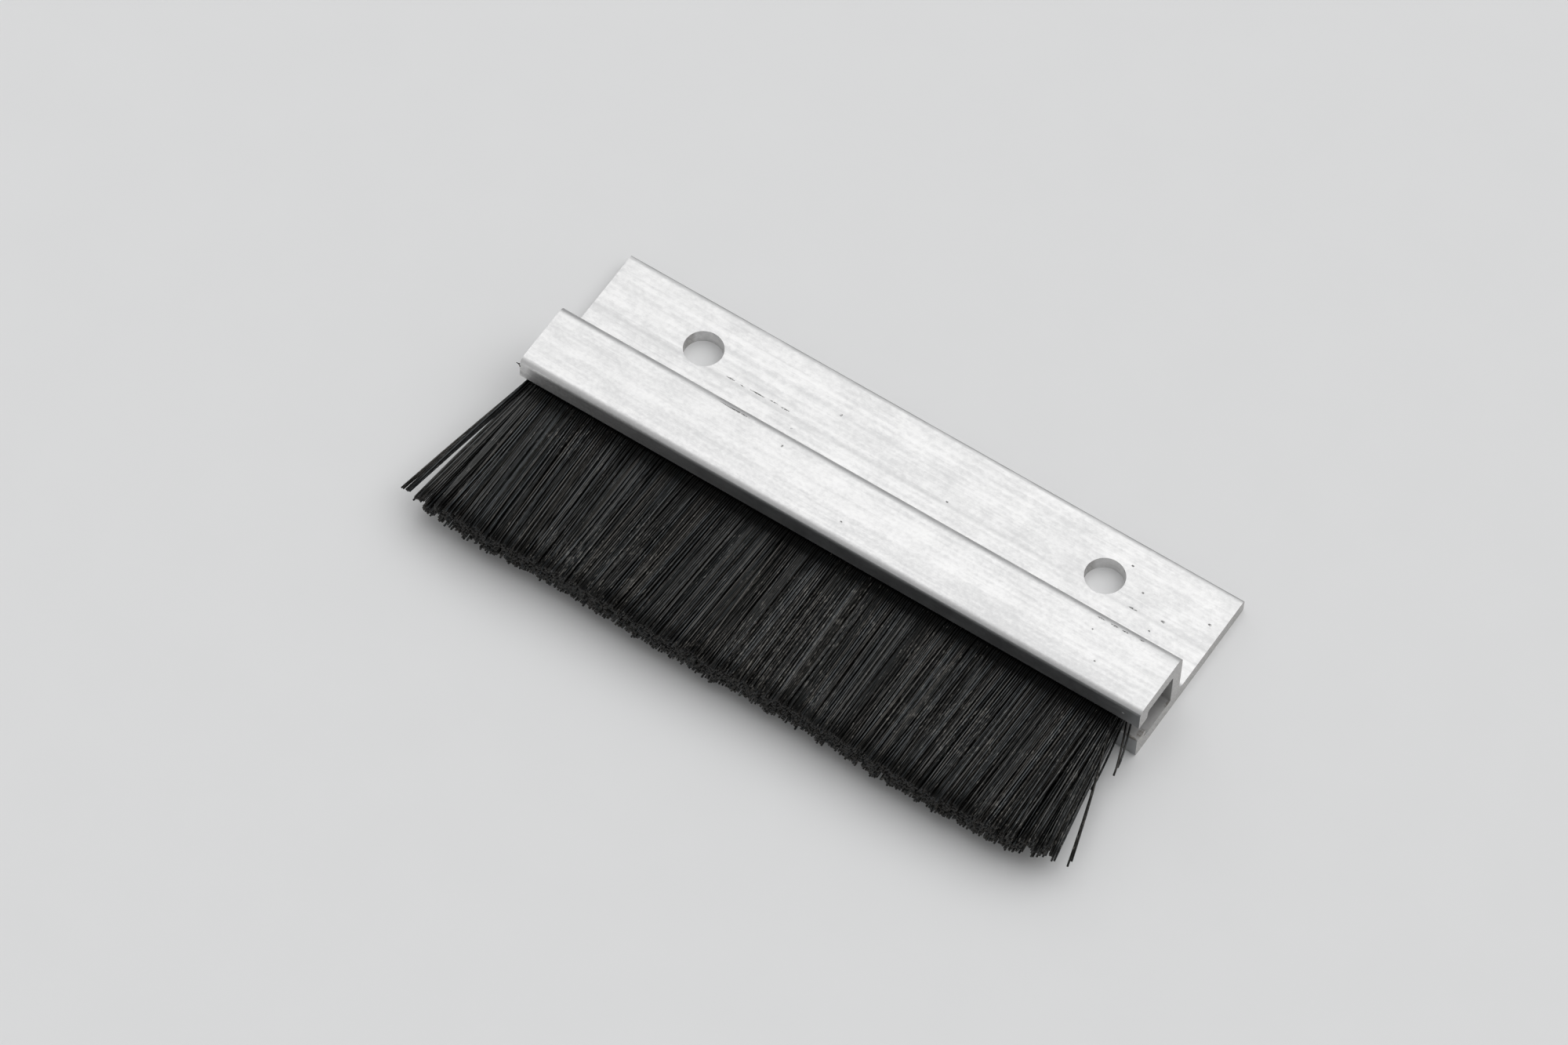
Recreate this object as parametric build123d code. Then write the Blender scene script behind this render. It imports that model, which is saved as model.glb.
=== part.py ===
from build123d import *
import os

# Short brush door sweep: an extruded aluminium holder with a screw flange, and the strip brush that
# slides into it. It lies on the flange's underside with the filaments pointing to -Y. The origin is
# midway between the two screw holes, on the flange's underside, and X runs along the extrusion.
# All sizes are in millimetres.

# Holder, seen along its length
LENGTH = 100.0
FLANGE_DEPTH = 28.0  # from the lip face to the flange's back edge
FLANGE_THICKNESS = 2.4
CHANNEL_DEPTH = 10.9
CHANNEL_HEIGHT = 11.0
WALL = 2.4  # over and under the brush
BACK_WALL = 2.2
LIP_DEPTH = 2.2  # of the two lips that hold the brush in
MOUTH = 3.0  # the gap between the lips
TOP_EDGE_RADIUS = 1.1
WEB_FILLET = 1.2  # between the channel's back and the flange
SMALL_RADIUS = 0.4

# Screw holes in the flange
HOLE_RADIUS = 2.9
HOLE_SPACING = 65.4
HOLE_TO_BACK_EDGE = 7.4
LEFT_END_TO_HOLE = 16.8

# Strip brush inside the channel
LEFT_RECESS = 1.1  # the brush stops this far inside the holder's left end
RIGHT_RECESS = 2.4  # and this far inside its right end
STEEL_CLEARANCE = 0.1
STEEL_SHEET = 0.6
STEEL_BEND_RADIUS = 1.0
THROAT = 2.8  # the gap between the steel channel's returns
CRIMP_PITCH = 4.0
CRIMP_WIDTH = 1.4
CRIMP_DEPTH = 0.15
WIRE_RADIUS = 0.9
FOLD_RADIUS = 2.3  # the filament pack's outside where it turns round the wire
FOLD_GAP = 0.1
PACK_THICKNESS = 2.6

# Filament curtain in front of the lips
FREE_LENGTH = 23.4
TIP_THICKNESS = 4.4
TIP_DROP = 0.4  # how much lower the tips lie than the mouth
FLEX_AXIS_OUT = 1.6  # where the filaments bend, in front of the lip face
BUNDLES = 8  # equal lengths of the curtain
LEFT_TUFT_WIDTH = 0.6  # the loose tufts at the two ends
RIGHT_TUFT_WIDTH = 0.6
TUFT_THICKNESS = 3.0
LEFT_TUFT_TIP = (-5.1, -3.7)  # the tuft tips' two sides, from the brush's left end
LEFT_FAN_TIP = -3.0  # the first bundle's outer side, from the brush's left end
RIGHT_FAN_TIP = 3.0  # the last bundle's outer side, from the brush's right end
RIGHT_TUFT_TIP = (4.3, 5.1)
STRAY_RADIUS = 0.2
# Each stray's two ends, as X from the brush's right end, Y from the lip face and Z from mid height
STRAYS = (
    ((1.5, -1.8, -1.75), (2.3, -5.1, -2.0)),
    ((2.1, -1.8, -1.75), (2.9, -6.3, -1.9)),
    ((0.1, -1.8, -1.9), (1.2, -9.5, -2.6)),
)

# Places that follow from the sizes above
HOLDER_LEFT = -HOLE_SPACING / 2 - LEFT_END_TO_HOLE
LIP_FACE = HOLE_TO_BACK_EDGE - FLANGE_DEPTH
BRUSH_LEFT = HOLDER_LEFT + LEFT_RECESS
BRUSH_LENGTH = LENGTH - LEFT_RECESS - RIGHT_RECESS
BRUSH_RIGHT = BRUSH_LEFT + BRUSH_LENGTH
MID_HEIGHT = CHANNEL_HEIGHT / 2
CAVITY_DEPTH = CHANNEL_DEPTH - LIP_DEPTH - BACK_WALL
CAVITY_HEIGHT = CHANNEL_HEIGHT - 2 * WALL
CAVITY_FRONT = LIP_FACE + LIP_DEPTH
STEEL_DEPTH = CAVITY_DEPTH - 2 * STEEL_CLEARANCE
STEEL_HEIGHT = CAVITY_HEIGHT - 2 * STEEL_CLEARANCE
STEEL_FRONT = CAVITY_FRONT + STEEL_CLEARANCE
STEEL_BACK = STEEL_FRONT + STEEL_DEPTH
WIRE_Y = STEEL_BACK - STEEL_SHEET - FOLD_GAP - FOLD_RADIUS
FLEX_Y = LIP_FACE - FLEX_AXIS_OUT
TIP_Y = LIP_FACE - FREE_LENGTH

SECTION = Plane.YZ  # a section is drawn with its x along +Y and its y along +Z


def box_2d(y_low, y_high, z_low, z_high):
    """A rectangle of the section, given by its sides."""
    centre = Pos((y_low + y_high) / 2, (z_low + z_high) / 2)
    return centre * Rectangle(y_high - y_low, z_high - z_low)


def rounded(section, corners, radius):
    """The section with the corners nearest to the given points rounded."""
    picked = [min(section.vertices(), key=lambda v: (v.center() - Vector(*c)).length) for c in corners]
    return fillet(picked, radius)


def along_x(section, start, length):
    """The section pushed along +X from start."""
    return extrude(SECTION.offset(start) * section, amount=length)


def holder():
    """Flange and C-shaped channel in one extrusion, with two screw holes."""
    back_edge = LIP_FACE + FLANGE_DEPTH
    channel_back = LIP_FACE + CHANNEL_DEPTH
    cavity_back = CAVITY_FRONT + CAVITY_DEPTH
    mouth_low = MID_HEIGHT - MOUTH / 2
    mouth_high = MID_HEIGHT + MOUTH / 2
    section = box_2d(LIP_FACE, channel_back, 0, CHANNEL_HEIGHT)
    section += box_2d(LIP_FACE, back_edge, 0, FLANGE_THICKNESS)
    section -= box_2d(CAVITY_FRONT, cavity_back, WALL, CHANNEL_HEIGHT - WALL)
    section -= box_2d(LIP_FACE, CAVITY_FRONT, mouth_low, mouth_high)
    section = rounded(section, [(channel_back, FLANGE_THICKNESS)], WEB_FILLET)
    top_corners = [(LIP_FACE, CHANNEL_HEIGHT), (channel_back, CHANNEL_HEIGHT)]
    section = rounded(section, top_corners, TOP_EDGE_RADIUS)
    edge_corners = [(back_edge, 0), (back_edge, FLANGE_THICKNESS), (LIP_FACE, 0)]
    mouth_corners = [(y, z) for y in (LIP_FACE, CAVITY_FRONT) for z in (mouth_low, mouth_high)]
    cavity_corners = [(y, z) for y in (CAVITY_FRONT, cavity_back) for z in (WALL, CHANNEL_HEIGHT - WALL)]
    section = rounded(section, edge_corners + mouth_corners + cavity_corners, SMALL_RADIUS)
    solid = along_x(section, HOLDER_LEFT, LENGTH)
    for x in (-HOLE_SPACING / 2, HOLE_SPACING / 2):
        solid -= Pos(x, 0, FLANGE_THICKNESS / 2) * Cylinder(HOLE_RADIUS, 2 * FLANGE_THICKNESS)
    return solid


def steel_channel():
    """Folded steel backing of the brush, with its legs' edges turned in and crimped at an even pitch."""
    low = MID_HEIGHT - STEEL_HEIGHT / 2
    high = MID_HEIGHT + STEEL_HEIGHT / 2
    outer = box_2d(STEEL_FRONT, STEEL_BACK, low, high)
    outer = fillet(outer.vertices(), STEEL_BEND_RADIUS)
    inner_front = STEEL_FRONT + STEEL_SHEET
    inner = box_2d(inner_front, STEEL_BACK - STEEL_SHEET, low + STEEL_SHEET, high - STEEL_SHEET)
    inner = fillet(inner.vertices(), STEEL_BEND_RADIUS - STEEL_SHEET)
    throat = box_2d(STEEL_FRONT, inner_front, MID_HEIGHT - THROAT / 2, MID_HEIGHT + THROAT / 2)
    solid = along_x(outer - inner - throat, BRUSH_LEFT, BRUSH_LENGTH)
    crimp = Box(CRIMP_WIDTH, STEEL_DEPTH / 2, 2 * CRIMP_DEPTH)
    crimps = int(BRUSH_LENGTH // CRIMP_PITCH)
    first = BRUSH_LEFT + (BRUSH_LENGTH - (crimps - 1) * CRIMP_PITCH) / 2
    crimp_y = STEEL_FRONT + STEEL_DEPTH / 2
    places = [Pos(first + i * CRIMP_PITCH, crimp_y, z) for i in range(crimps) for z in (low, high)]
    return solid - [place * crimp for place in places]


def core_wire():
    """Wire that the filaments are folded round, and that locks them in the steel channel."""
    section = Pos(WIRE_Y, MID_HEIGHT) * Circle(WIRE_RADIUS)
    return along_x(section, BRUSH_LEFT, BRUSH_LENGTH)


def bundle_root(left, right):
    """The fixed half of a bundle: the filaments folded round the wire, up to the lip face."""
    section = Pos(WIRE_Y, MID_HEIGHT) * Circle(FOLD_RADIUS)
    section += box_2d(LIP_FACE, WIRE_Y, MID_HEIGHT - PACK_THICKNESS / 2, MID_HEIGHT + PACK_THICKNESS / 2)
    section -= Pos(WIRE_Y, MID_HEIGHT) * Circle(WIRE_RADIUS)
    return along_x(section, left, right - left)


def free_bundle(left, right, tip_left, tip_right, tip_thickness):
    """The free half of a bundle: a slab with a round root on the flex axis, thicker at its tips."""
    middle = (left + right) / 2
    tip_middle = (tip_left + tip_right) / 2
    width = right - left
    root_end = Plane((middle, FLEX_Y, MID_HEIGHT), x_dir=(1, 0, 0), z_dir=(0, -1, 0))
    tip_end = Plane((tip_middle, TIP_Y, MID_HEIGHT - TIP_DROP), x_dir=(1, 0, 0), z_dir=(0, -1, 0))
    root_face = root_end * Rectangle(width, PACK_THICKNESS)
    tip_face = tip_end * Rectangle(tip_right - tip_left, tip_thickness)
    blade = loft([root_face, tip_face], ruled=True)
    rounding = Pos(middle, FLEX_Y, MID_HEIGHT) * Rot(0, 90, 0) * Cylinder(PACK_THICKNESS / 2, width)
    behind_axis = Pos(middle, FLEX_Y + PACK_THICKNESS / 2, MID_HEIGHT)
    behind_axis *= Box(width, PACK_THICKNESS, PACK_THICKNESS)
    return blade + (rounding & behind_axis)


def stray_filaments():
    """Short single filaments that stick out past the brush's right end."""
    origin = Vector(BRUSH_RIGHT, LIP_FACE, MID_HEIGHT)
    strays = []
    for start, end in STRAYS:
        first = origin + Vector(*start)
        last = origin + Vector(*end)
        section = Plane(first, z_dir=last - first) * Circle(STRAY_RADIUS)
        strays.append(extrude(section, amount=(last - first).length))
    return Compound(children=strays)


def bundles():
    """Every bundle's name, with its sides at the root and at the tips, and its thickness at the tips."""
    first = BRUSH_LEFT + LEFT_TUFT_WIDTH
    last = BRUSH_RIGHT - RIGHT_TUFT_WIDTH
    sides = [first + (last - first) * i / BUNDLES for i in range(BUNDLES + 1)]
    tips = [BRUSH_LEFT + LEFT_FAN_TIP, *sides[1:-1], BRUSH_RIGHT + RIGHT_FAN_TIP]
    left_tips = [BRUSH_LEFT + x for x in LEFT_TUFT_TIP]
    right_tips = [BRUSH_RIGHT + x for x in RIGHT_TUFT_TIP]
    rows = [("left_tuft", BRUSH_LEFT, first, *left_tips, TUFT_THICKNESS)]
    for i in range(BUNDLES):
        rows.append((f"bundle_{i + 1}", sides[i], sides[i + 1], tips[i], tips[i + 1], TIP_THICKNESS))
    rows.append(("right_tuft", last, BRUSH_RIGHT, *right_tips, TUFT_THICKNESS))
    return rows


def build():
    """Every node's name and shape."""
    nodes = {
        "holder": holder(),
        "steel_channel": steel_channel(),
        "core_wire": core_wire(),
        "stray_filaments": stray_filaments(),
    }
    for name, left, right, tip_left, tip_right, tip_thickness in bundles():
        nodes[f"{name}_root"] = bundle_root(left, right)
        nodes[name] = free_bundle(left, right, tip_left, tip_right, tip_thickness)
    return nodes


os.makedirs("parts", exist_ok=True)
for node, shape in build().items():
    export_step(shape, f"parts/{node}.step")
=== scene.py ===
import math

import bpy
import numpy as np
from mathutils import Matrix, Vector


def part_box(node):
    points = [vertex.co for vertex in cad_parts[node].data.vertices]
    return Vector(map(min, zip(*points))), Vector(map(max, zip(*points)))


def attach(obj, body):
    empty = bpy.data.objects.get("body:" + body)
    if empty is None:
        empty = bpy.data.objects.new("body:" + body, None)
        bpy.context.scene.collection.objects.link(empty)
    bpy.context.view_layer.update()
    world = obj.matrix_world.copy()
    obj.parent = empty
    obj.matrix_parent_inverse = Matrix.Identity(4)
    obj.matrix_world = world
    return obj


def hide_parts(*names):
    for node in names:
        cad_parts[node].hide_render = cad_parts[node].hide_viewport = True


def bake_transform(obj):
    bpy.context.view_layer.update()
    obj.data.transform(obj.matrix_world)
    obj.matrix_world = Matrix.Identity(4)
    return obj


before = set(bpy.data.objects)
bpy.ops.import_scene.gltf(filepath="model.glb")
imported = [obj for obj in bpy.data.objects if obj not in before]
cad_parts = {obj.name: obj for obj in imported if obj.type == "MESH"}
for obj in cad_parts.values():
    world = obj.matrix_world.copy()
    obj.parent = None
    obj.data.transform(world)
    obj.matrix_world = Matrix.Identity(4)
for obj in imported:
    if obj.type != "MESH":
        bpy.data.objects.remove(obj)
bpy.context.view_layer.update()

# Short brush door sweep. The aluminium holder, the steel channel and the core wire are the CAD nodes
# with materials of their own. Every filament is built here and folded round the core wire.

MM = 0.001

# Filaments
FILAMENT_RADIUS = 0.15 * MM
SIDES = 6  # of a filament's tube
LAYERS = 5  # of filaments folded over each other round the wire
FOLD_PITCH = 0.325 * MM  # between neighbours of one layer, along the brush
LOWEST_LEG = 0.14 * MM  # the innermost leg's height over the brush's middle, in the throat
LEG_STEP = 0.255 * MM  # from one layer's leg to the next
WIRE_GAP = 0.02 * MM  # between the wire and the innermost fold
FREE_SHARES = (1.0, 0.86, 0.72, 0.58, 0.44, 0.30, 0.18, 0.09, 0.0)  # from the tip to the throat
FOLD_RINGS = 9  # round half of the wire
SHOULDER = 0.62  # how far a fold has widened halfway from the throat to the wire
LOOSE_BOW = 0.10 * MM  # how far single filaments bow out of line
CLAMPED_SHARE = 0.08  # the part of a free leg over which it turns to its own direction

# The curtain's shape
TIP_DROP = 0.4 * MM  # how much lower the tips lie than the mouth
TIP_HALF_THICKNESS = 2.0 * MM
SIDE_JITTER = 0.06 * MM  # of single filaments' tips
HEIGHT_JITTER = 0.10 * MM
ROOT_JITTER = 0.02 * MM
LEAN_WAVE_LENGTH = 50 * MM  # the curtain's slow lean to the left and right
LEAN_WAVE_TOP = -13.5 * MM
LEAN_WAVE = 1.3 * MM  # at the tips
LEAN_MEAN = 0.25 * MM
LEAN_END = 10 * MM  # beyond the brush's right end, where the lean would fade to nothing
CLUMP_LENGTHS = (1.3 * MM, 2.3 * MM, 4.1 * MM)
CLUMP_SHIFTS = (0.07 * MM, 0.12 * MM, 0.18 * MM)
CROSSING_SHARE = 0.10  # of the filaments, which lie across their neighbours
CROSSING_SHIFT = 0.75 * MM
NO_CROSSING_REACH = 2.2 * MM  # next to the brush's ends, whose sides are straight

# The curtain's trim line
TIP_RAGGEDNESS = 0.13 * MM  # of single filaments' ends
LONGEST_RAG = 0.35 * MM
CLUSTER_WIDTH = 0.9 * MM  # of filaments that were trimmed together
CLUSTER_RAGGEDNESS = 0.17 * MM
TRIM_OFFSET = 0.1 * MM  # from the CAD slabs' ends to the trim line at the left end
TRIM_WAVE = 0.2 * MM
TRIM_WAVE_SCALE = 5.3 * MM
LONGER_MIDDLE = 0.50 * MM  # how much further the trim line reaches away from the left end
LONGER_MIDDLE_REACH = 8 * MM
LONGER_RIGHT = 0.40 * MM  # and how much further still on the right half
LONGER_RIGHT_X = 36 * MM
LONGER_RIGHT_REACH = 11 * MM
RIGHT_CORNER = 1.95 * MM  # how much shorter the filaments at the right side are
RIGHT_CORNER_REACH = 2.2 * MM

# The curtain's two ends
FAN_REACH = 2.5 * MM  # how far in from each end the curtain fans out
FAN_GAIN = 1.12  # which makes up for what the clumping takes from the outermost filaments
FAN_CLUMP = 1.5 * MM  # the width of the clumps that it fans out in
FAN_CLUMPING = 0.85  # 0 is an even fan and 1 is parallel filaments in each clump
END_CLUMPING = 1.3  # how much stronger the clumps are at the brush's ends
END_CLUMPING_REACH = 4 * MM
END_THINNING = 0.75  # the share by which the tips draw together in height at the ends
END_THINNING_REACH = 1.2 * MM
END_LAYERS = 1.2  # of folds at the curtain's two sides, whose edges are rounded
END_LAYER_STEP = 0.28 * MM  # from where one layer ends to where the next one over it ends

# Photograph's view of the part
CAMERA_AZIMUTH = math.radians(29.908)
CAMERA_ELEVATION = math.radians(57.849)
CAMERA_ROLL = math.radians(3.760)
CAMERA_PLACE = Vector((309.01, -568.73, 1014.18)) * MM
CAMERA_LENS_MM = 201.2
SENSOR_MM = 36.0

SEED = 20260


# ---------------------------------------------------------------- places read from the frame

HOLDER_LOW, HOLDER_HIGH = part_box("holder")
STEEL_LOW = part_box("steel_channel")[0]
STEEL_SHEET = 0.6 * MM  # its thickness
WIRE_LOW, WIRE_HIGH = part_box("core_wire")
WIRE_Y = (WIRE_LOW.y + WIRE_HIGH.y) / 2
MID_Z = (WIRE_LOW.z + WIRE_HIGH.z) / 2
WIRE_RADIUS = (WIRE_HIGH.z - WIRE_LOW.z) / 2
THROAT_Y = STEEL_LOW.y + STEEL_SHEET  # inside face of the steel channel's returns
LIP_Y = HOLDER_LOW.y
TIP_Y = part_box("bundle_4")[0].y
BRUSH_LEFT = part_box("left_tuft_root")[0].x
BRUSH_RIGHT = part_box("right_tuft_root")[1].x
CURTAIN_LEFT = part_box("bundle_1_root")[0].x
CURTAIN_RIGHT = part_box("bundle_8_root")[1].x
CURTAIN_TIP_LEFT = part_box("bundle_1")[0].x
CURTAIN_TIP_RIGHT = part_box("bundle_8")[1].x
CLUSTERS = round((BRUSH_RIGHT - BRUSH_LEFT) / CLUSTER_WIDTH) + 1
CLUSTER_RAGS = np.random.default_rng(SEED).normal(0, CLUSTER_RAGGEDNESS, CLUSTERS)


# ---------------------------------------------------------------- node trees

SPOT_EDGE = 0.55  # the share of a spot's radius from which it fades


class Tree:
    """A new material's node tree, with short calls for the nodes that this script uses."""

    def __init__(self, name):
        self.material = bpy.data.materials.new(name)
        self.material.use_nodes = True
        self.nodes = self.material.node_tree.nodes
        self.links = self.material.node_tree.links
        self.nodes.clear()
        output = self.nodes.new("ShaderNodeOutputMaterial")
        self.shader = self.nodes.new("ShaderNodeBsdfPrincipled")
        self.links.new(self.shader.outputs["BSDF"], output.inputs["Surface"])

    def put(self, source, socket):
        """A value or another node's output goes into a socket."""
        if isinstance(source, bpy.types.NodeSocket):
            self.links.new(source, socket)
        else:
            socket.default_value = source

    def surface(self, **values):
        """Values and links for the shader's sockets, by name with _ for a space."""
        for name, value in values.items():
            self.put(value, self.shader.inputs[name.replace("_", " ")])

    def place(self):
        return self.nodes.new("ShaderNodeTexCoord").outputs["Object"]

    def normal(self):
        return self.nodes.new("ShaderNodeTexCoord").outputs["Normal"]

    def attribute(self, name):
        node = self.nodes.new("ShaderNodeAttribute")
        node.attribute_name = name
        return node.outputs["Fac"]

    def vector(self, operation, a, b=None):
        node = self.nodes.new("ShaderNodeVectorMath")
        node.operation = operation
        self.put(a, node.inputs[0])
        if b is not None:
            self.put(b, node.inputs[1])
        return node.outputs["Value" if operation == "LENGTH" else "Vector"]

    def math(self, operation, a, b=None):
        node = self.nodes.new("ShaderNodeMath")
        node.operation = operation
        self.put(a, node.inputs[0])
        if b is not None:
            self.put(b, node.inputs[1])
        return node.outputs["Value"]

    def weighted(self, *parts):
        """The sum of (value, weight) pairs."""
        total = self.math("MULTIPLY", *parts[0])
        for value, weight in parts[1:]:
            total = self.math("ADD", total, self.math("MULTIPLY", value, weight))
        return total

    def split(self, vector):
        node = self.nodes.new("ShaderNodeSeparateXYZ")
        self.put(vector, node.inputs[0])
        return node.outputs["X"], node.outputs["Y"], node.outputs["Z"]

    def join(self, x, y, z):
        node = self.nodes.new("ShaderNodeCombineXYZ")
        for source, socket in zip((x, y, z), node.inputs):
            self.put(source, socket)
        return node.outputs["Vector"]

    def noise(self, place, stretch, detail=3.0, roughness=0.5):
        """Noise whose cycles per metre along X, Y and Z are given by stretch."""
        node = self.nodes.new("ShaderNodeTexNoise")
        self.put(self.vector("MULTIPLY", place, stretch), node.inputs["Vector"])
        node.inputs["Scale"].default_value = 1.0
        node.inputs["Detail"].default_value = detail
        node.inputs["Roughness"].default_value = roughness
        return node.outputs["Fac"]

    def cells(self, place, scale):
        """A random colour for each cell."""
        node = self.nodes.new("ShaderNodeTexVoronoi")
        self.put(place, node.inputs["Vector"])
        node.inputs["Scale"].default_value = scale
        return node.outputs["Color"]

    def span(self, value, from_low, from_high, to_low=0.0, to_high=1.0):
        """A clamped and smoothed change of range."""
        node = self.nodes.new("ShaderNodeMapRange")
        node.interpolation_type = "SMOOTHSTEP"
        for source, socket in zip((value, from_low, from_high, to_low, to_high), node.inputs):
            self.put(source, socket)
        return node.outputs["Result"]

    def mix(self, share, low, high):
        """A colour from low to high."""
        node = self.nodes.new("ShaderNodeMix")
        node.data_type = "RGBA"
        self.put(share, node.inputs["Factor"])
        self.put(low, node.inputs[6])
        self.put(high, node.inputs[7])
        return node.outputs[2]

    def bump(self, height, depth, normal=None):
        """Surface relief of the given depth in metres."""
        node = self.nodes.new("ShaderNodeBump")
        node.inputs["Distance"].default_value = depth
        self.put(height, node.inputs["Height"])
        if normal is not None:
            self.put(normal, node.inputs["Normal"])
        return node.outputs["Normal"]

    def spot(self, place, centre, radii):
        """1 in an ellipsoid, falling to 0 at its skin."""
        offset = self.vector("SUBTRACT", place, centre)
        scaled = self.vector("DIVIDE", offset, radii)
        return self.span(self.vector("LENGTH", scaled), 1.0, SPOT_EDGE)

    def any_of(self, masks):
        """The largest of several masks."""
        result = masks[0]
        for mask in masks[1:]:
            result = self.math("MAXIMUM", result, mask)
        return result


def grey(value, blue=0.0):
    """A linear grey, a little cool where blue is above 0 and a little warm below."""
    return (value - blue, value, value + blue, 1.0)


# ---------------------------------------------------------------- materials

# Marks on the holder in millimetres: X, Y and the two radii, on the flange's or the channel's top
FLANGE_MARKS = (
    (-26.9, -2.0, 0.9, 0.13),
    (-24.9, -2.1, 0.5, 0.10),
    (-22.6, -2.0, 1.5, 0.12),
    (-19.9, -1.9, 0.8, 0.10),
    (-17.9, -2.0, 0.9, 0.12),
    (-11.1, 1.6, 0.22, 0.30),
    (-15.6, -4.1, 0.16, 0.16),
    (8.5, -2.1, 0.22, 0.20),
    (35.0, 3.5, 0.25, 0.18),
    (38.4, 0.6, 0.22, 0.18),
    (38.6, -2.3, 0.8, 0.16),
    (43.1, -1.8, 0.40, 0.22),
    (42.3, -4.1, 0.20, 0.16),
    (48.6, 1.4, 0.30, 0.20),
)
CHANNEL_MARKS = (
    (-20.8, -10.75, 2.9, 0.14),
    (38.2, -10.8, 0.7, 0.14),
    (40.3, -10.8, 0.7, 0.14),
    (42.0, -10.8, 0.6, 0.13),
    (44.6, -10.7, 0.5, 0.12),
    (-12.3, -12.0, 0.18, 0.26),
    (0.9, -17.7, 0.26, 0.14),
    (41.0, -17.0, 0.18, 0.18),
    (38.1, -12.9, 0.16, 0.14),
)
MARK_HEIGHT = 0.5  # a mark's radius along Z
MARK_STRENGTH = 0.75
# Brown dirt at the mouth's right end in millimetres: the middle and the radii
END_GRIME = (
    ((50.4, -19.3, 3.95), (0.7, 1.1, 0.45)),
    ((50.4, -18.3, 2.80), (0.5, 0.5, 0.45)),
    ((49.4, -20.5, 3.95), (1.3, 0.3, 0.35)),
    ((50.4, -12.6, 2.70), (0.5, 0.9, 0.50)),
)
GRIME_BROWN = (0.150, 0.125, 0.095, 1.0)
# A bright nick on the upper lip in millimetres: the middle and the radii
LIP_NICK = (47.9, -20.6, 8.9)
LIP_NICK_RADII = (0.26, 0.3, 0.2)
DIE_LINE_Y = -2.5 * MM  # a dull line that the die left along the flange
DIE_LINE_HALF_WIDTH = 0.55 * MM
INSIDE_HALF_HEIGHT = 3.3 * MM  # of the channel's inside and mouth, which are painted darker as shade
INSIDE_BACK_Y = -11.7 * MM
CHANNEL_BACK_Y = -9.7 * MM
FLANGE_TOP = 2.4 * MM
FLANGE_STRIP = 0.85 * MM  # the widths of the strips of painted shade along the back edges
CHANNEL_STRIP = 1.50 * MM
LIP_SHADE_LENGTH = 45 * MM  # over which the front of the lips goes from a painted reflection, light at the left end, to painted shade
GRAIN_DEPTH = 0.030 * MM


def holder_marks(tree, place):
    """Dark pits and scuffs on the holder's two top faces."""
    masks = []
    for marks, top in ((FLANGE_MARKS, FLANGE_TOP), (CHANNEL_MARKS, HOLDER_HIGH.z)):
        for x, y, radius_x, radius_y in marks:
            centre = Vector((x * MM, y * MM, top))
            radii = Vector((radius_x, radius_y, MARK_HEIGHT)) * MM
            masks.append(tree.spot(place, centre, radii))
    ragged = tree.span(tree.noise(place, (3600, 9000, 5200)), 0.40, 0.56)
    return tree.math("MULTIPLY", tree.any_of(masks), ragged)


def end_grime(tree, place):
    """Dirt that has caught on the sawn edges at the right end."""
    masks = [tree.spot(place, Vector(middle) * MM, Vector(radii) * MM) for middle, radii in END_GRIME]
    ragged = tree.span(tree.noise(place, (2600, 2600, 2600)), 0.36, 0.60, 0.1, 0.7)
    return tree.math("MULTIPLY", tree.any_of(masks), ragged)


def drawn_tone(tree, place):
    """A tone between 0 and 1 of bands and lines along X, broken up by oxide blotches and mottling."""
    bands = tree.noise(place, (6, 420, 420), detail=2.0)
    die_lines = tree.noise(place, (26, 1700, 1700), detail=4.0, roughness=0.6)
    hair_lines = tree.noise(place, (120, 8000, 8000), detail=2.0)
    blotches = tree.noise(place, (190, 330, 330), detail=6.0, roughness=0.62)
    mottling = tree.noise(place, (1500, 1900, 1900), detail=4.0, roughness=0.65)
    fine = ((hair_lines, 0.12), (blotches, 0.24), (mottling, 0.30))
    tone = tree.weighted((bands, 0.14), (die_lines, 0.20), *fine)
    return tone, die_lines, blotches, mottling


def painted_edge_shade(tree, y, z, blotches):
    """Painted shade: narrow dark strips along the rounded back edges of the flange's and the channel's
    top faces.
    """
    strips = []
    edges = ((HOLDER_HIGH.y, 0.0, FLANGE_STRIP), (CHANNEL_BACK_Y, FLANGE_TOP + 0.2 * MM, CHANNEL_STRIP))
    for edge_y, low_z, width in edges:
        strip = tree.span(y, edge_y - width, edge_y - 0.45 * width, 0.0, 0.8)
        strip = tree.math("MULTIPLY", strip, tree.span(y, edge_y + 0.06 * MM, edge_y + 0.02 * MM))
        strips.append(tree.math("MULTIPLY", strip, tree.span(z, low_z, low_z + 0.1 * MM)))
    return tree.math("MULTIPLY", tree.any_of(strips), tree.span(blotches, 0.30, 0.60, 0.55, 1.0))


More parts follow.
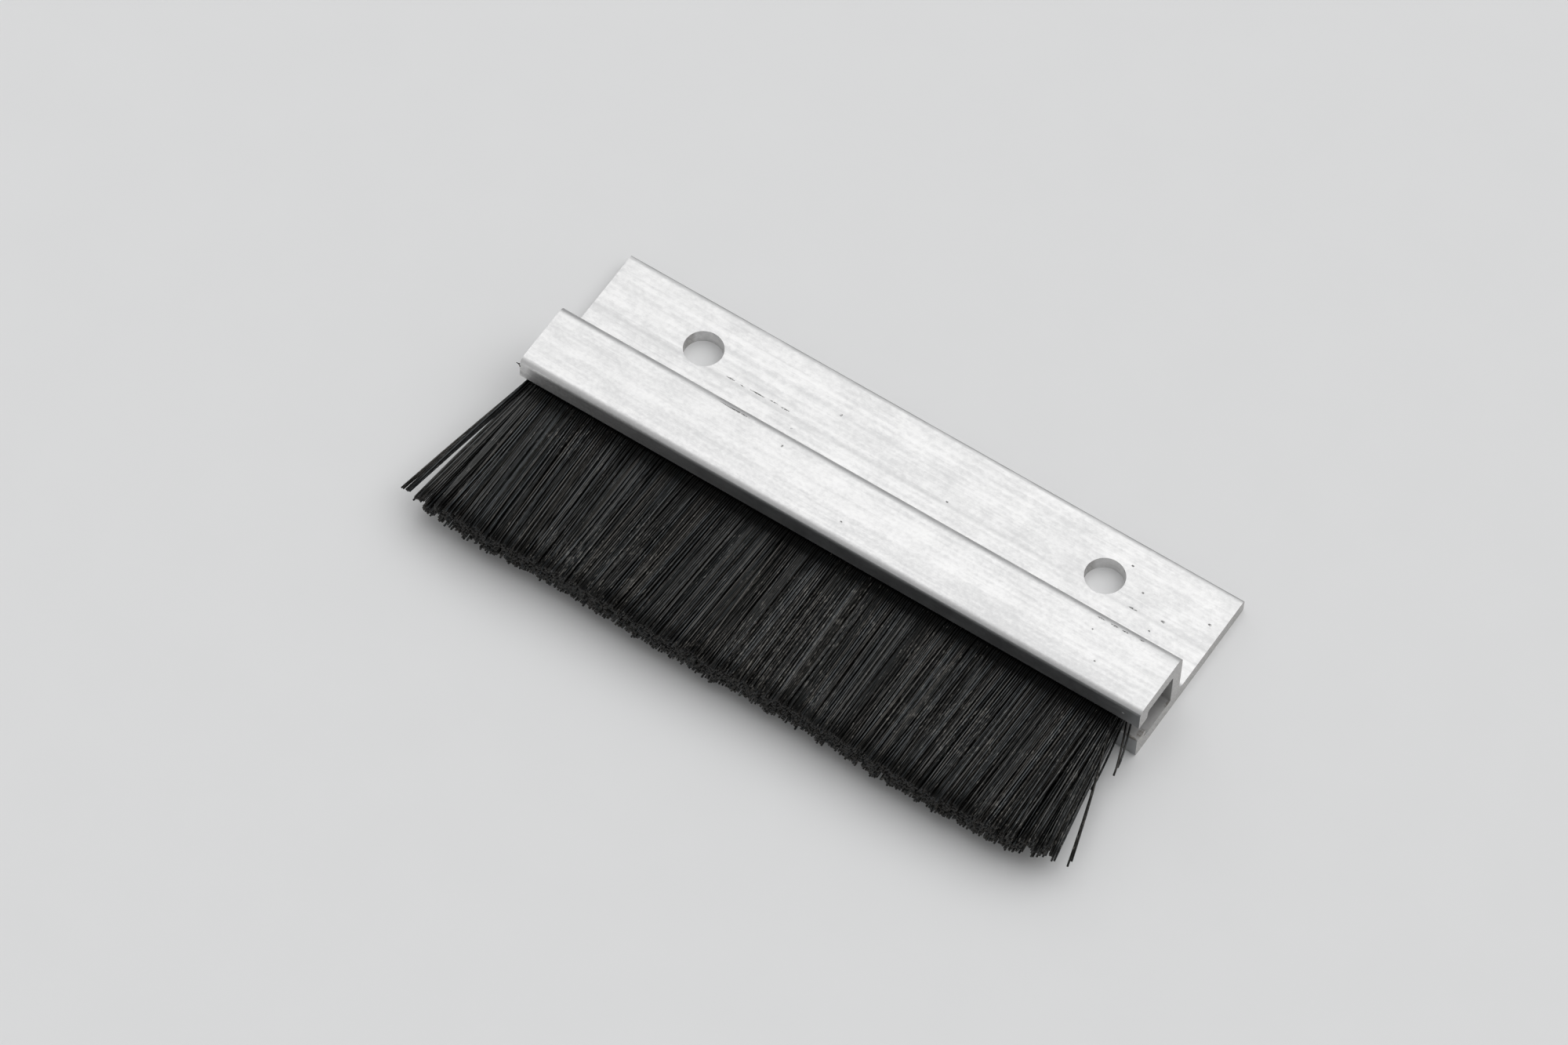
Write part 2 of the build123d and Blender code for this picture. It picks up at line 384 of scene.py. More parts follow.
def aluminium():
    """Mill-finish aluminium: lines from the die along X, oxide, marks, saw-cut ends, painted shade
    inside the channel and along the back edges, and painted reflection and shade on the front of the
    lips.
    """
    tree = Tree("mill_aluminium")
    place = tree.place()
    x, y, z = tree.split(place)
    normal_x, normal_y, normal_z = tree.split(tree.normal())
    tone, die_lines, blotches, mottling = drawn_tone(tree, place)
    grain = tree.noise(place, (2600, 5200, 5200), detail=2.0)
    drawn = tree.mix(tree.span(tone, 0.38, 0.60), grey(0.690, -0.001), grey(0.785, -0.005))
    drawn = tree.mix(tree.span(grain, 0.62, 0.80, 0.0, 0.35), drawn, grey(0.58, -0.002))

    line_offset = tree.math("ABSOLUTE", tree.math("SUBTRACT", y, DIE_LINE_Y))
    die_line = tree.span(line_offset, DIE_LINE_HALF_WIDTH, 0.0, 0.0, 0.55)
    die_line = tree.math("MULTIPLY", die_line, tree.span(blotches, 0.35, 0.60, 0.35, 1.0))
    drawn = tree.mix(die_line, drawn, grey(0.54))

    # Painted shade: the rounded back edges, which face away from the light, are painted a flat, mostly
    # darker grey.
    at_back_edge = tree.span(normal_y, 0.15, 0.50)
    at_back_edge = tree.math("MULTIPLY", at_back_edge, tree.span(normal_z, 0.15, 0.35))
    drawn = tree.mix(at_back_edge, drawn, grey(0.70))
    # Painted shade along the back edges.
    drawn = tree.mix(painted_edge_shade(tree, y, z, blotches), drawn, grey(0.42))

    # Painted shade: the channel's inside and the mouth under the upper lip are painted darker.
    middle_offset = tree.math("ABSOLUTE", tree.math("SUBTRACT", z, MID_Z))
    inside = tree.span(middle_offset, INSIDE_HALF_HEIGHT, INSIDE_HALF_HEIGHT - 0.1 * MM)
    inside = tree.math("MULTIPLY", inside, tree.span(y, INSIDE_BACK_Y, INSIDE_BACK_Y - 0.1 * MM))
    inside = tree.math("MULTIPLY", inside, tree.span(y, LIP_Y + 0.05 * MM, LIP_Y + 0.3 * MM))
    drawn = tree.mix(inside, drawn, tree.mix(blotches, grey(0.44, -0.004), grey(0.62, -0.008)))

    # Painted reflection and shade on the front faces of the lips: light at the left end, darker towards
    # the right.
    at_lips = tree.span(normal_y, -0.60, -0.90)
    at_lips = tree.math("MULTIPLY", at_lips, tree.span(y, LIP_Y + 0.2 * MM, LIP_Y + 0.1 * MM))
    to_right = tree.span(x, HOLDER_LOW.x, HOLDER_LOW.x + LIP_SHADE_LENGTH)
    lip_front_shade = tree.mix(to_right, grey(0.95, -0.006), grey(0.38, 0.008))
    lip_front_shade = tree.mix(tree.span(tone, 0.42, 0.58, 0.5, 0.0), lip_front_shade, grey(0.44))
    drawn = tree.mix(at_lips, drawn, lip_front_shade)

    marks = holder_marks(tree, place)
    drawn = tree.mix(tree.math("MULTIPLY", marks, MARK_STRENGTH), drawn, grey(0.10, -0.003))
    nick = tree.spot(place, Vector(LIP_NICK) * MM, Vector(LIP_NICK_RADII) * MM)
    drawn = tree.mix(nick, drawn, grey(1.0))

    saw_place = tree.join(0.0, tree.math("ADD", y, tree.math("MULTIPLY", z, 0.5)), z)
    saw_lines = tree.noise(saw_place, (1.0, 9500, 420), detail=3.0, roughness=0.6)
    cut_tone = tree.weighted((saw_lines, 0.55), (mottling, 0.45))
    cut = tree.mix(tree.span(cut_tone, 0.32, 0.68), grey(0.46, -0.006), grey(0.60, -0.012))
    at_cut = tree.span(tree.math("ABSOLUTE", normal_x), 0.80, 0.95)
    colour = tree.mix(end_grime(tree, place), tree.mix(at_cut, drawn, cut), GRIME_BROWN)

    rough = tree.span(tone, 0.38, 0.62, 0.60, 0.47)
    rough = tree.math("ADD", rough, tree.math("MULTIPLY", marks, 0.3))
    rough_cut = tree.span(cut_tone, 0.3, 0.7, 0.58, 0.48)
    height = tree.weighted((die_lines, 0.45), (mottling, 0.35), (grain, 0.20))
    height = tree.math("SUBTRACT", height, tree.math("MULTIPLY", marks, 0.8))
    cut_height = tree.math("MULTIPLY", saw_lines, 0.5)
    tree.surface(
        Base_Color=colour,
        Metallic=1.0,
        Roughness=tree.span(at_cut, 0.0, 1.0, rough, rough_cut),
        Normal=tree.bump(tree.mix(at_cut, height, cut_height), GRAIN_DEPTH),
    )
    return tree.material


def torn_aluminium():
    """The burr's torn metal: rough, with brighter smears, and painted near black as shade."""
    tree = Tree("torn_aluminium")
    smears = tree.noise(tree.place(), (3500, 9000, 9000), detail=4.0)
    # Painted shade: the burr's metal is painted near black between the brighter smears.
    tree.surface(
        Base_Color=tree.mix(tree.span(smears, 0.45, 0.70), grey(0.05, -0.004), grey(0.42, -0.03)),
        Metallic=1.0,
        Roughness=tree.span(smears, 0.3, 0.7, 0.7, 0.45),
        Normal=tree.bump(smears, 0.04 * MM),
    )
    return tree.material


CRYSTALS = 620.0  # of zinc per metre
CRYSTAL_WOBBLE = 1.2 * MM  # how far their borders wander


def galvanised_steel():
    """Folded steel sheet with a zinc coat: small crystals and rolling lines."""
    tree = Tree("galvanised_steel_sheet")
    place = tree.place()
    wobble = tree.noise(place, (900, 900, 900))
    shift = tree.vector("MULTIPLY", tree.join(wobble, wobble, wobble), (CRYSTAL_WOBBLE,) * 3)
    bent = tree.vector("ADD", place, shift)
    crystals, _, _ = tree.split(tree.cells(bent, CRYSTALS))
    rolled = tree.noise(place, (45, 3000, 3000), detail=4.0)
    tone = tree.weighted((crystals, 0.6), (rolled, 0.4))
    tree.surface(
        Base_Color=tree.mix(tree.span(tone, 0.2, 0.8), grey(0.38, 0.012), grey(0.66, 0.006)),
        Metallic=1.0,
        Roughness=tree.span(tone, 0.2, 0.8, 0.50, 0.30),
        Normal=tree.bump(tone, 0.012 * MM),
    )
    return tree.material


def drawn_wire():
    """Bright drawn wire with lines along it and a few dark stains."""
    tree = Tree("drawn_wire")
    place = tree.place()
    drawn = tree.noise(place, (60, 7000, 7000), detail=3.0)
    stains = tree.noise(place, (300, 500, 500), detail=4.0)
    clean = tree.mix(drawn, grey(0.42), grey(0.70))
    tree.surface(
        Base_Color=tree.mix(tree.span(stains, 0.56, 0.70, 0.0, 0.6), clean, (0.16, 0.13, 0.11, 1.0)),
        Metallic=1.0,
        Roughness=tree.span(drawn, 0.3, 0.7, 0.42, 0.24),
        Normal=tree.bump(drawn, 0.008 * MM),
    )
    return tree.material


KINK_DEPTH = 0.05 * MM  # of a filament's unevenness along its length
LIP_SHADE_TO = 6.0  # millimetres outside the lips, up to which the filaments are painted darker and less glossy, as shade under the lips
WARM = (1.0, 0.95, 0.88, 1.0)  # the two ends of the filaments' range of highlight colours
COOL = (0.89, 0.96, 1.0, 1.0)


def filament_plastic():
    """Black plastic filament. Each one differs a little in colour and gloss, and is not quite round.
    Lighter dashes are painted highlights, and near the lips the filaments are painted darker as shade.
    """
    tree = Tree("black_filament")
    own = tree.attribute("own_tone")
    along = tree.attribute("along")
    around = tree.attribute("around")
    apart = tree.math("MULTIPLY", own, 400.0)
    place = tree.join(along, around, apart)
    # Painted shade: within this distance of the lips the filaments get fewer painted highlights and a
    # lower gloss.
    lip_shade = tree.span(tree.attribute("outside"), LIP_SHADE_TO, 0.5)
    kinks = tree.noise(place, (0.28, 0.5, 1.0), detail=2.0)
    streaks = tree.noise(place, (0.9, 2.2, 1.0), detail=4.0, roughness=0.6)
    # Pattern of the lighter dashes below, which are painted highlights standing in for glints.
    scuffs = tree.noise(place, (1.1, 1.3, 1.0), detail=2.5, roughness=0.6)
    tint = tree.noise(tree.join(apart, 0.0, 0.0), (0.37, 1.0, 1.0), detail=0.0)
    black = tree.mix(own, (0.0026, 0.0028, 0.0030, 1.0), (0.0058, 0.0056, 0.0052, 1.0))
    bright_areas = tree.noise(tree.place(), (110, 90, 90), detail=3.0)
    sparse = tree.span(bright_areas, 0.40, 0.62, 0.10, 0.0)
    sparse = tree.math("ADD", sparse, tree.math("MULTIPLY", lip_shade, 0.07))
    # Painted highlights: lighter grey dashes in the base colour, fewer of them near the lips.
    painted_glints = tree.span(tree.math("SUBTRACT", scuffs, sparse), 0.53, 0.64)
    gloss = tree.weighted((own, 0.3), (streaks, 0.7))
    sheen = tree.span(gloss, 0.32, 0.68, 0.68, 0.12)
    relief = tree.weighted((kinks, 0.75), (streaks, 0.25))
    tree.surface(
        Base_Color=tree.mix(painted_glints, black, (0.086, 0.082, 0.075, 1.0)),
        Roughness=tree.span(gloss, 0.25, 0.75, 0.10, 0.26),
        Specular_IOR_Level=tree.math("MULTIPLY", sheen, tree.span(lip_shade, 0.0, 1.0, 1.0, 0.60)),
        Specular_Tint=tree.mix(tree.span(tint, 0.35, 0.65), WARM, COOL),
        Normal=tree.bump(relief, KINK_DEPTH),
    )
    return tree.material


def cut_filament():
    """The filaments' cut ends: dull, with the shear marks of the trimming."""
    tree = Tree("cut_filament_end")
    sheared = tree.noise(tree.place(), (9000, 9000, 2500), detail=2.0)
    tree.surface(
        Base_Color=tree.mix(sheared, grey(0.012), grey(0.040, -0.003)),
        Specular_IOR_Level=0.25,
        Roughness=tree.span(sheared, 0.3, 0.7, 0.75, 0.5),
        Normal=tree.bump(sheared, 0.01 * MM),
    )
    return tree.material


def studio_floor():
    """Pale, slightly grainy card."""
    tree = Tree("studio_floor")
    fibres = tree.noise(tree.place(), (90, 90, 90), detail=6.0)
    tree.surface(
        Base_Color=tree.mix(fibres, grey(0.762, 0.001), grey(0.782, 0.001)),
        Roughness=0.9,
        Specular_IOR_Level=0.2,
    )
    return tree.material


# ---------------------------------------------------------------- tube meshes

def tube_rings(lines, radius):
    """Ring points round each centre line, with one more axis, for the sides, than lines has."""
    tangents = np.gradient(lines, axis=1)
    tangents /= np.linalg.norm(tangents, axis=2, keepdims=True)
    across = np.array([1.0, 0.0, 0.0]) - tangents * tangents[..., :1]
    across /= np.linalg.norm(across, axis=2, keepdims=True)
    upward = np.cross(across, tangents)
    angles = np.arange(SIDES) * 2 * math.pi / SIDES
    cosines = np.cos(angles)[None, None, :, None]
    sines = np.sin(angles)[None, None, :, None]
    return lines[:, :, None] + radius * (across[:, :, None] * cosines + upward[:, :, None] * sines)


def tube_faces(count, rings):
    """Side quads and end caps of all the tubes, as rows of vertex numbers."""
    first = (np.arange(count) * rings * SIDES)[:, None, None]
    ring = (np.arange(rings - 1) * SIDES)[None, :, None]
    side = np.arange(SIDES)[None, None, :]
    after = (side + 1) % SIDES
    base = first + ring
    quads = np.stack([base + side, base + after, base + after + SIDES, base + side + SIDES], axis=-1)
    sides = np.arange(SIDES)
    starts = first[:, 0] + sides[::-1]
    ends = first[:, 0] + (rings - 1) * SIDES + sides
    return quads.reshape(-1, 4), np.concatenate([starts, ends])


def tube_piece(name, lines, tones, lengths):
    """One mesh object of many closed tubes, with the attributes that the filament material reads."""
    count, rings, _ = lines.shape
    points = tube_rings(lines, FILAMENT_RADIUS).reshape(-1, 3)
    quads, caps = tube_faces(count, rings)
    mesh = bpy.data.meshes.new(name)
    mesh.from_pydata(points.tolist(), [], quads.tolist() + caps.tolist())
    smooth = np.ones(len(mesh.polygons), dtype=bool)
    smooth[len(quads):] = False
    mesh.polygons.foreach_set("use_smooth", smooth)
    mesh.polygons.foreach_set("material_index", (~smooth).astype(np.int32))
    turns = np.arange(SIDES) / SIDES
    own = np.broadcast_to(tones[:, None, None], (count, rings, SIDES))
    along = np.broadcast_to(lengths[:, :, None], (count, rings, SIDES)) / MM
    around = np.broadcast_to(np.sin(math.pi * turns)[None, None, :], (count, rings, SIDES))
    outside = np.broadcast_to(LIP_Y - lines[:, :, 1:2], (count, rings, SIDES)) / MM
    attributes = (("own_tone", own), ("along", along), ("around", around), ("outside", outside))
    for label, values in attributes:
        attribute = mesh.attributes.new(label, "FLOAT", "POINT")
        attribute.data.foreach_set("value", values.astype(np.float32).ravel())
    mesh.materials.append(FILAMENT)
    mesh.materials.append(CUT_END)
    mesh.update()
    piece = bpy.data.objects.new(name, mesh)
    bpy.context.scene.collection.objects.link(piece)
    return piece


def line_lengths(lines):
    """The distance along each centre line, ring by ring."""
    steps = np.linalg.norm(np.diff(lines, axis=1), axis=2)
    return np.concatenate([np.zeros((len(lines), 1)), np.cumsum(steps, axis=1)], axis=1)


# ---------------------------------------------------------------- filament routes

def curtain_lean(x, phase):
    """How far a filament's tip lies to the side of its root, from its root's X."""
    slow = LEAN_MEAN + LEAN_WAVE * np.cos(2 * math.pi * (x - LEAN_WAVE_TOP) / LEAN_WAVE_LENGTH)
    slow *= (BRUSH_RIGHT + LEAN_END - x) / (BRUSH_RIGHT - BRUSH_LEFT)
    clumped = (np.floor(x / FAN_CLUMP + phase) + 0.5 - phase) * FAN_CLUMP
    fanned = np.clip(x + FAN_CLUMPING * (clumped - x), CURTAIN_LEFT, CURTAIN_RIGHT)
    left_fan = (CURTAIN_TIP_LEFT - CURTAIN_LEFT) * np.exp((CURTAIN_LEFT - fanned) / FAN_REACH)
    right_fan = (CURTAIN_TIP_RIGHT - CURTAIN_RIGHT) * np.exp((fanned - CURTAIN_RIGHT) / FAN_REACH)
    return FAN_GAIN * (left_fan + right_fan) - slow


def from_end(x):
    """The distance to the nearer end of the brush."""
    return np.minimum(x - BRUSH_LEFT, BRUSH_RIGHT - x)


def from_edge(x):
    """The distance to the nearer side of the curtain at its roots."""
    return np.minimum(x - CURTAIN_LEFT, CURTAIN_RIGHT - x)


def clumping(x, phases):
    """A small side shift at the tips that draws neighbours together in clumps."""
    shift = np.zeros_like(x)
    for length, size, phase in zip(CLUMP_LENGTHS, CLUMP_SHIFTS, phases):
        shift += size * np.sin(2 * math.pi * (x / length + phase))
    return shift * (1 + END_CLUMPING * np.exp(-from_end(x) / END_CLUMPING_REACH))


def tip_ends(x, rng):
    """Y of the tips: a wavy trim, ragged by clusters, that is shorter at the two sides."""
    rag = np.clip(rng.normal(0, TIP_RAGGEDNESS, len(x)), -LONGEST_RAG, LONGEST_RAG)
    cluster = CLUSTER_RAGS[((x - BRUSH_LEFT) / CLUSTER_WIDTH).astype(int)]
    longer = LONGER_MIDDLE * (1 - np.exp((BRUSH_LEFT - x) / LONGER_MIDDLE_REACH))
    longer += LONGER_RIGHT * np.exp(-((x - LONGER_RIGHT_X) / LONGER_RIGHT_REACH) ** 2)
    wave = TRIM_WAVE * np.sin(x / TRIM_WAVE_SCALE)
    corner = RIGHT_CORNER * np.exp(-((x - CURTAIN_RIGHT) / RIGHT_CORNER_REACH) ** 4)
    return TIP_Y + TRIM_OFFSET - longer + wave + corner + cluster + rag


def free_leg(roots, side, heights, tips, bows):
    """Centre lines from the tips to the throat."""
    share = np.array(FREE_SHARES)[None, :]
    lean = share ** 2 / (share + CLAMPED_SHARE) * (1 + CLAMPED_SHARE)
    bow = np.sin(math.pi * share)
    x = roots[:, None] + (tips[:, :1] - roots[:, None]) * lean + bows[:, :1] * bow
    y = THROAT_Y + (tips[:, 1:2] - THROAT_Y) * share
    z_root = (MID_Z + side * heights)[:, None]
    z = z_root + (tips[:, 2:] - z_root) * lean + bows[:, 1:] * bow
    return np.stack([x, y, z], axis=2)


def fold(roots, heights, radii):
    """Centre lines from the throat's top round the back of the wire to the throat's bottom."""
    half_way = (THROAT_Y + WIRE_Y) / 2
    shoulder = heights + SHOULDER * (radii - heights)
    over = np.stack([roots, np.full_like(roots, half_way), MID_Z + shoulder], axis=1)[:, None]
    under = np.stack([roots, np.full_like(roots, half_way), MID_Z - shoulder], axis=1)[:, None]
    angles = np.linspace(math.pi / 2, -math.pi / 2, FOLD_RINGS)[None, :]
    x = np.broadcast_to(roots[:, None], (len(roots), FOLD_RINGS))
    y = WIRE_Y + radii[:, None] * np.cos(angles)
    z = MID_Z + radii[:, None] * np.sin(angles)
    return np.concatenate([over, np.stack([x, y, z], axis=2), under], axis=1)


def folded_filaments(roots, layers, upper_tips, lower_tips, rng, bow=None):
    """Whole centre lines: one free leg, the fold round the wire, and the other free leg."""
    heights = LOWEST_LEG + layers * LEG_STEP
    radii = WIRE_RADIUS + FILAMENT_RADIUS + WIRE_GAP + layers * LEG_STEP
    bows = rng.normal(0, LOOSE_BOW, (2, len(roots), 2))
    if bow is not None:
        bows = np.broadcast_to((bow, 0.0), (2, len(roots), 2))
    upper = free_leg(roots, 1, heights, upper_tips, bows[0])
    lower = free_leg(roots, -1, heights, lower_tips, bows[1])
    return np.concatenate([upper, fold(roots, heights, radii), lower[:, ::-1]], axis=1)


def curtain_tips(roots, layers, side, phases, rng):
    """Tip points of one leg of each filament in the curtain."""
    count = len(roots)
    crossing = (rng.random(count) < CROSSING_SHARE) * rng.normal(0, CROSSING_SHIFT, count)
    crossing *= from_end(roots) > NO_CROSSING_REACH
    lean = curtain_lean(roots, phases[0]) + clumping(roots, phases)
    x = roots + lean + rng.normal(0, SIDE_JITTER, count) + crossing
    y = tip_ends(roots, rng)
    thinning = 1 - END_THINNING * np.exp(-from_end(roots) / END_THINNING_REACH)
    spread = (layers + 0.5) / LAYERS * TIP_HALF_THICKNESS * thinning
    z = MID_Z - TIP_DROP + side * spread + rng.normal(0, HEIGHT_JITTER, count)
    return np.stack([x, y, z], axis=1)


def layer_roots(left, right, rng):
    """X and layer of every fold between two sides, each layer half a pitch off the one below."""
    count = round((right - left) / FOLD_PITCH)
    pitch = (right - left) / count
    xs = []
    layers = []
    for layer in range(LAYERS):
        places = left + (np.arange(count) + 0.3 + 0.4 * (layer % 2)) * pitch
        xs.append(places + rng.normal(0, ROOT_JITTER, count))
        layers.append(np.full(count, layer))
    return np.concatenate(xs), np.concatenate(layers)


def finish_filaments(name, lines, rng, *nodes):
    """The piece for some centre lines, in place of CAD nodes."""
    tones = rng.random(len(lines))
    piece = tube_piece(name, lines, tones, line_lengths(lines))
    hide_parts(*nodes)
    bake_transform(piece)
    return piece


def curtain_bundle(number):
    """One of the curtain's equal lengths."""
    name = f"bundle_{number}"
    root_low, root_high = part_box(f"{name}_root")
    rng = np.random.default_rng(SEED + number)
    roots, layers = layer_roots(root_low.x, root_high.x, rng)
    kept = layers < END_LAYERS + from_edge(roots) / END_LAYER_STEP
    roots, layers = roots[kept], layers[kept]
    lines = folded_filaments(
        roots,
        layers,
        curtain_tips(roots, layers, 1, (0.1, 0.4, 0.7), rng),
        curtain_tips(roots, layers, -1, (0.6, 0.2, 0.9), rng),
        rng,
    )
    finish_filaments(f"filament_{name}", lines, rng, name, f"{name}_root")


# Loose folds at the two ends in millimetres from the brush's end: the root's X, the layer that it lies
# in, then the upper and the lower leg's tip as X and Y. Y is counted from the curtain's tips.
LEFT_TUFT = (
    (0.04, 1.0, (-4.84, 0.25), (-4.68, 0.45)),
    (0.10, 2.0, (-4.16, 0.35), (-4.02, 0.45)),
    (0.20, 1.0, (-3.94, 0.40), (-3.82, 0.55)),
    (0.24, 3.0, (-3.82, 0.45), (-3.72, 0.60)),
)
RIGHT_TUFT = ((-2.50, 4.3, (5.34, 2.0), (5.22, 1.2)),)
TUFT_LEG_HEIGHT = 0.16 * MM  # of the tips over the tuft's middle
LEFT_TUFT_BOW = -0.14 * MM  # how far the loose folds bow outward
RIGHT_TUFT_BOW = 0.40 * MM


def tuft(name, folds, end, bow, seed):
    """A few loose folds at an end of the brush, which stand apart from the curtain."""
    rng = np.random.default_rng(seed)
    roots = np.array([end + root * MM for root, _, _, _ in folds])
    layers = np.array([layer for _, layer, _, _ in folds])
    tips = []
    for side in (1, -1):
        legs = [upper if side == 1 else lower for _, _, upper, lower in folds]
        height = MID_Z - TIP_DROP + side * TUFT_LEG_HEIGHT
        tips.append(np.array([(end + x * MM, TIP_Y + y * MM, height) for x, y in legs]))
    lines = folded_filaments(roots, layers, tips[0], tips[1], rng, bow)
    finish_filaments(f"filament_{name}", lines, rng, name, f"{name}_root")


# Strays at the right end in millimetres, from the brush's right end, the lip face and the wire's height
STRAY_ROOTS = ((-0.05, 2.9, -0.6), (-0.75, 2.9, -0.3), (-0.9, 2.9, -0.9))
STRAY_TIPS = ((2.5, -4.9, -2.0), (2.75, -6.3, -1.9), (1.2, -9.5, -2.6))
STRAY_HOOK = (-0.16, 0.10, 0.14)
STRAY_HOOK_SHARPNESS = 12  # the power of the share of the length
STRAY_BOW = (0.12, 0.0, 0.10)


def stray_filaments():
    """Short single filaments that stick out at the right end, with a hook at the tip."""
    rng = np.random.default_rng(SEED + 50)
    origin = np.array([BRUSH_RIGHT, LIP_Y, MID_Z])
    share = np.array(FREE_SHARES)[:, None]
    hook = share ** STRAY_HOOK_SHARPNESS * np.array(STRAY_HOOK) * MM
    bow = np.sin(math.pi * share) * np.array(STRAY_BOW) * MM
    lines = []
    for root, tip in zip(STRAY_ROOTS, STRAY_TIPS):
        start = origin + np.array(root) * MM
        end = origin + np.array(tip) * MM
        lines.append(start + (end - start) * share + bow + hook)
    finish_filaments("stray_filament_ends", np.array(lines), rng, "stray_filaments")


# ---------------------------------------------------------------- burr

BURR_RINGS = 9
BURR_SIDES = 6
BURR_ROOT = Vector((HOLDER_LOW.x + 0.15 * MM, LIP_Y + 0.12 * MM, HOLDER_HIGH.z - 1.30 * MM))
BURR_LENGTH = 0.75 * MM
BURR_CURL_FORWARD = 0.12 * MM  # how far the tip has curled away from the root's height and depth
BURR_CURL_UP = 0.22 * MM
BURR_HALF_WIDTH = 0.26 * MM
BURR_HALF_THICKNESS = 0.07 * MM
BURR_TWISTS = (0.5, 1.3)  # at the root, and from there to the tip, in radians


def saw_burr():
    """Torn sliver that the saw left at the left end of the channel's top front edge."""
    points = []
    for i in range(BURR_RINGS):
        share = i / (BURR_RINGS - 1)
        forward = -BURR_CURL_FORWARD * share ** 2
        centre = BURR_ROOT + Vector((-share * BURR_LENGTH, forward, BURR_CURL_UP * share ** 1.5))
        width = BURR_HALF_WIDTH * (1 - 0.80 * share) * (1 + 0.25 * math.sin(9 * share))
        thickness = BURR_HALF_THICKNESS * (1 - 0.7 * share)
        twist = BURR_TWISTS[0] + BURR_TWISTS[1] * share
        for k in range(BURR_SIDES):
            angle = 2 * math.pi * k / BURR_SIDES
            flat = Vector((0, width * math.cos(angle), thickness * math.sin(angle)))
            points.append(centre + Matrix.Rotation(twist, 3, "X") @ flat)
    faces = []
    for first in range(0, (BURR_RINGS - 1) * BURR_SIDES, BURR_SIDES):
        for k in range(BURR_SIDES):
            this = first + k
            after = first + (k + 1) % BURR_SIDES
            faces.append((this, after, after + BURR_SIDES, this + BURR_SIDES))
    faces.append(tuple(reversed(range(BURR_SIDES))))
    faces.append(tuple(range((BURR_RINGS - 1) * BURR_SIDES, BURR_RINGS * BURR_SIDES)))
    mesh = bpy.data.meshes.new("saw_burr")
    mesh.from_pydata([tuple(p) for p in points], [], faces)
    mesh.materials.append(torn_aluminium())
    mesh.update()
    burr = bpy.data.objects.new("saw_burr", mesh)
    bpy.context.scene.collection.objects.link(burr)
    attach(burr, "holder")


# ---------------------------------------------------------------- studio

def dress(node, material):
    """Gives a CAD node a procedural material."""
    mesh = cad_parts[node].data
    mesh.materials.clear()
    mesh.materials.append(material)


def floor():
    """Pale floor that the part lies on."""
    half = 3.0
    corners = [(-half, -half, 0), (half, -half, 0), (half, half, 0), (-half, half, 0)]
    mesh = bpy.data.meshes.new("floor")
    mesh.from_pydata(corners, [], [(0, 1, 2, 3)])
    mesh.materials.append(studio_floor())
    plane = bpy.data.objects.new("floor", mesh)
    bpy.context.scene.collection.objects.link(plane)


def softbox(name, place, width, depth, watts):
    """Rectangular area light that faces the frame's origin."""
    lamp = bpy.data.lights.new(name, "AREA")
    lamp.shape = "RECTANGLE"
    lamp.size = width
    lamp.size_y = depth
    lamp.energy = watts
    holder = bpy.data.objects.new(name, lamp)
    holder.location = place
    holder.rotation_euler = (-Vector(place)).to_track_quat("-Z", "Y").to_euler()
    bpy.context.scene.collection.objects.link(holder)


# The surround's brightness: of the room, and what the large light over and behind the part adds
ROOM_LIGHT = 0.44
CEILING_LIGHT = 1.28
CEILING_DIRECTION = (0.15, 0.32, 0.935)
CEILING_ANGLES = (math.radians(48), math.radians(26))  # from its middle: where it ends, where it is full


def toward_camera():
    """The direction from the part to the camera."""
    level = math.cos(CAMERA_ELEVATION)
    sideways = math.sin(CAMERA_AZIMUTH) * level
    forward = -math.cos(CAMERA_AZIMUTH) * level
    return Vector((sideways, forward, math.sin(CAMERA_ELEVATION)))


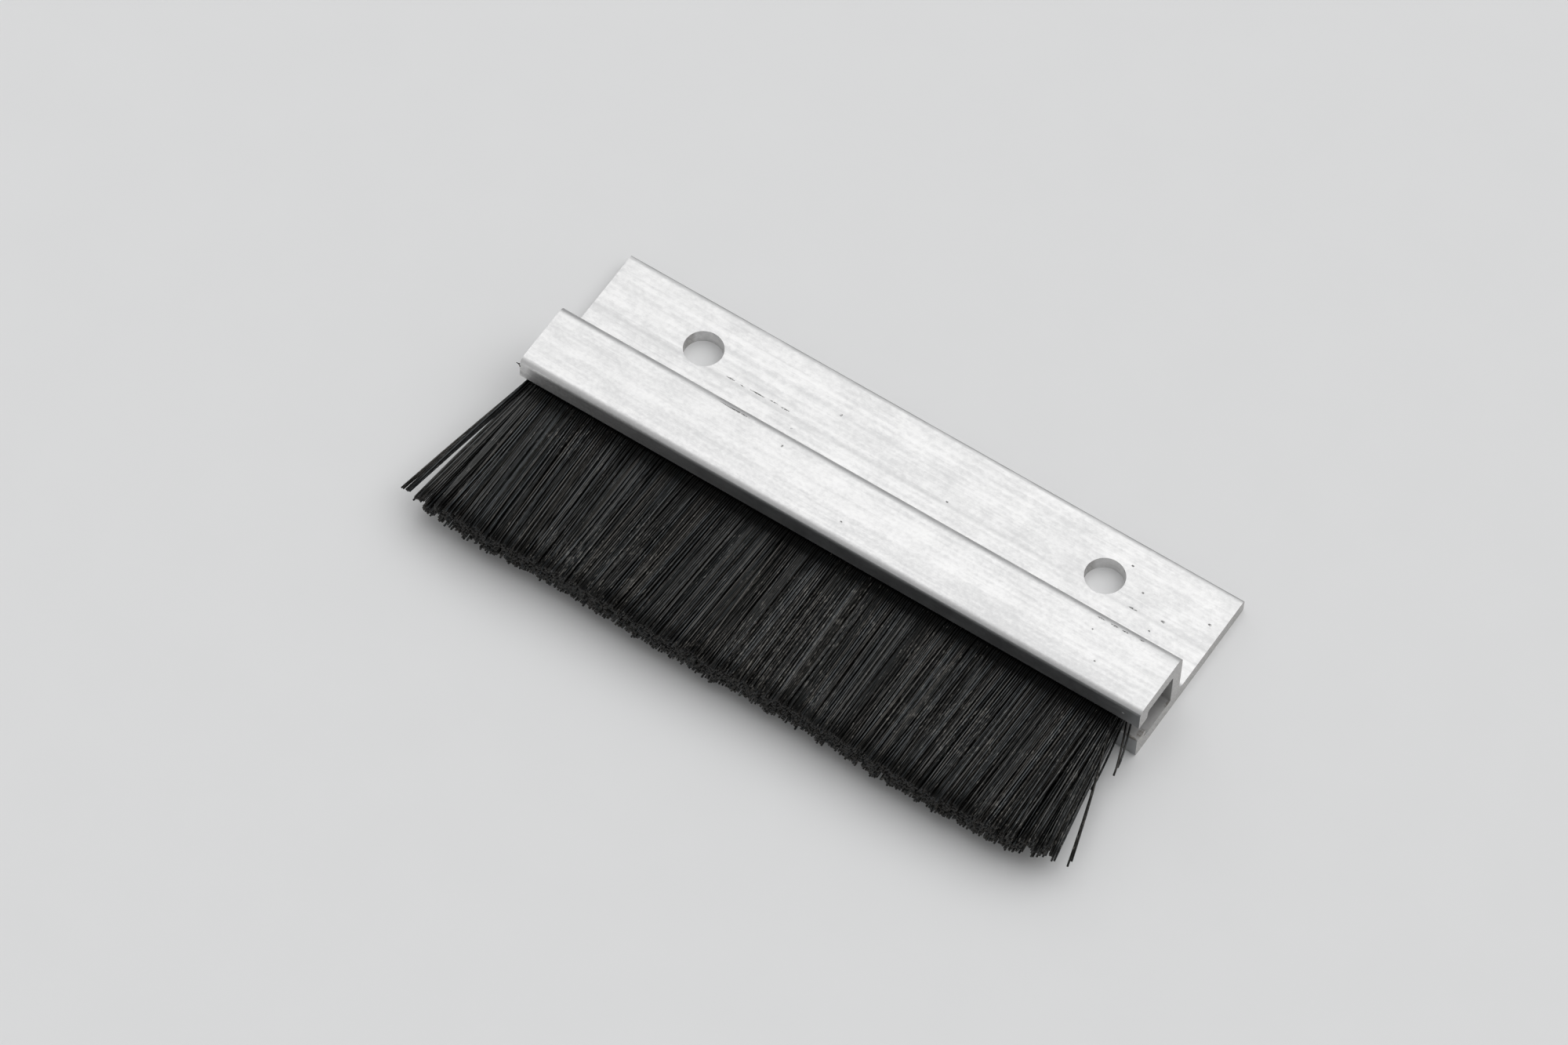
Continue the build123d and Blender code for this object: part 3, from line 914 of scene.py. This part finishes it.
def surround():
    """World light: a dim room with a large soft light over and behind the part."""
    world = bpy.data.worlds.new("studio")
    world.use_nodes = True
    nodes = world.node_tree.nodes
    links = world.node_tree.links
    nearness = nodes.new("ShaderNodeVectorMath")
    nearness.operation = "DOT_PRODUCT"
    nearness.inputs[1].default_value = Vector(CEILING_DIRECTION).normalized()
    links.new(nodes.new("ShaderNodeTexCoord").outputs["Generated"], nearness.inputs[0])
    light = nodes.new("ShaderNodeMapRange")
    light.interpolation_type = "SMOOTHSTEP"
    links.new(nearness.outputs["Value"], light.inputs["Value"])
    light.inputs["From Min"].default_value = math.cos(CEILING_ANGLES[0])
    light.inputs["From Max"].default_value = math.cos(CEILING_ANGLES[1])
    light.inputs["To Min"].default_value = ROOM_LIGHT
    light.inputs["To Max"].default_value = ROOM_LIGHT + CEILING_LIGHT
    background = nodes["Background"]
    background.inputs["Color"].default_value = grey(0.975, 0.004)
    links.new(light.outputs["Result"], background.inputs["Strength"])
    bpy.context.scene.world = world


def studio():
    """Soft light all round, and one softbox that gives the filaments small highlights."""
    surround()
    softbox("key", (-1.00, 0.62, 0.62), 0.40, 0.40, 0.6)


def camera():
    """Camera at the photograph's viewing angle."""
    back = toward_camera()
    right = Vector((math.cos(CAMERA_AZIMUTH), math.sin(CAMERA_AZIMUTH), 0))
    up = back.cross(right)
    axis_x = math.cos(CAMERA_ROLL) * right + math.sin(CAMERA_ROLL) * up
    axis_y = math.cos(CAMERA_ROLL) * up - math.sin(CAMERA_ROLL) * right
    lens = bpy.data.cameras.new("photo_view")
    lens.sensor_width = SENSOR_MM
    lens.lens = CAMERA_LENS_MM
    lens.clip_start = 0.05
    lens.clip_end = 20.0
    eye = bpy.data.objects.new("photo_view", lens)
    turn = Matrix((axis_x, axis_y, back)).transposed().to_4x4()
    eye.matrix_world = Matrix.Translation(CAMERA_PLACE) @ turn
    bpy.context.scene.collection.objects.link(eye)
    bpy.context.scene.camera = eye


# ---------------------------------------------------------------- the scene

ALUMINIUM = aluminium()
FILAMENT = filament_plastic()
CUT_END = cut_filament()

camera()
floor()
studio()
dress("holder", ALUMINIUM)
dress("steel_channel", galvanised_steel())
dress("core_wire", drawn_wire())
for bundle in range(1, 9):
    curtain_bundle(bundle)
tuft("left_tuft", LEFT_TUFT, BRUSH_LEFT, LEFT_TUFT_BOW, SEED + 30)
tuft("right_tuft", RIGHT_TUFT, BRUSH_RIGHT, RIGHT_TUFT_BOW, SEED + 40)
stray_filaments()
saw_burr()
bpy.context.scene.view_settings.view_transform = "Standard"

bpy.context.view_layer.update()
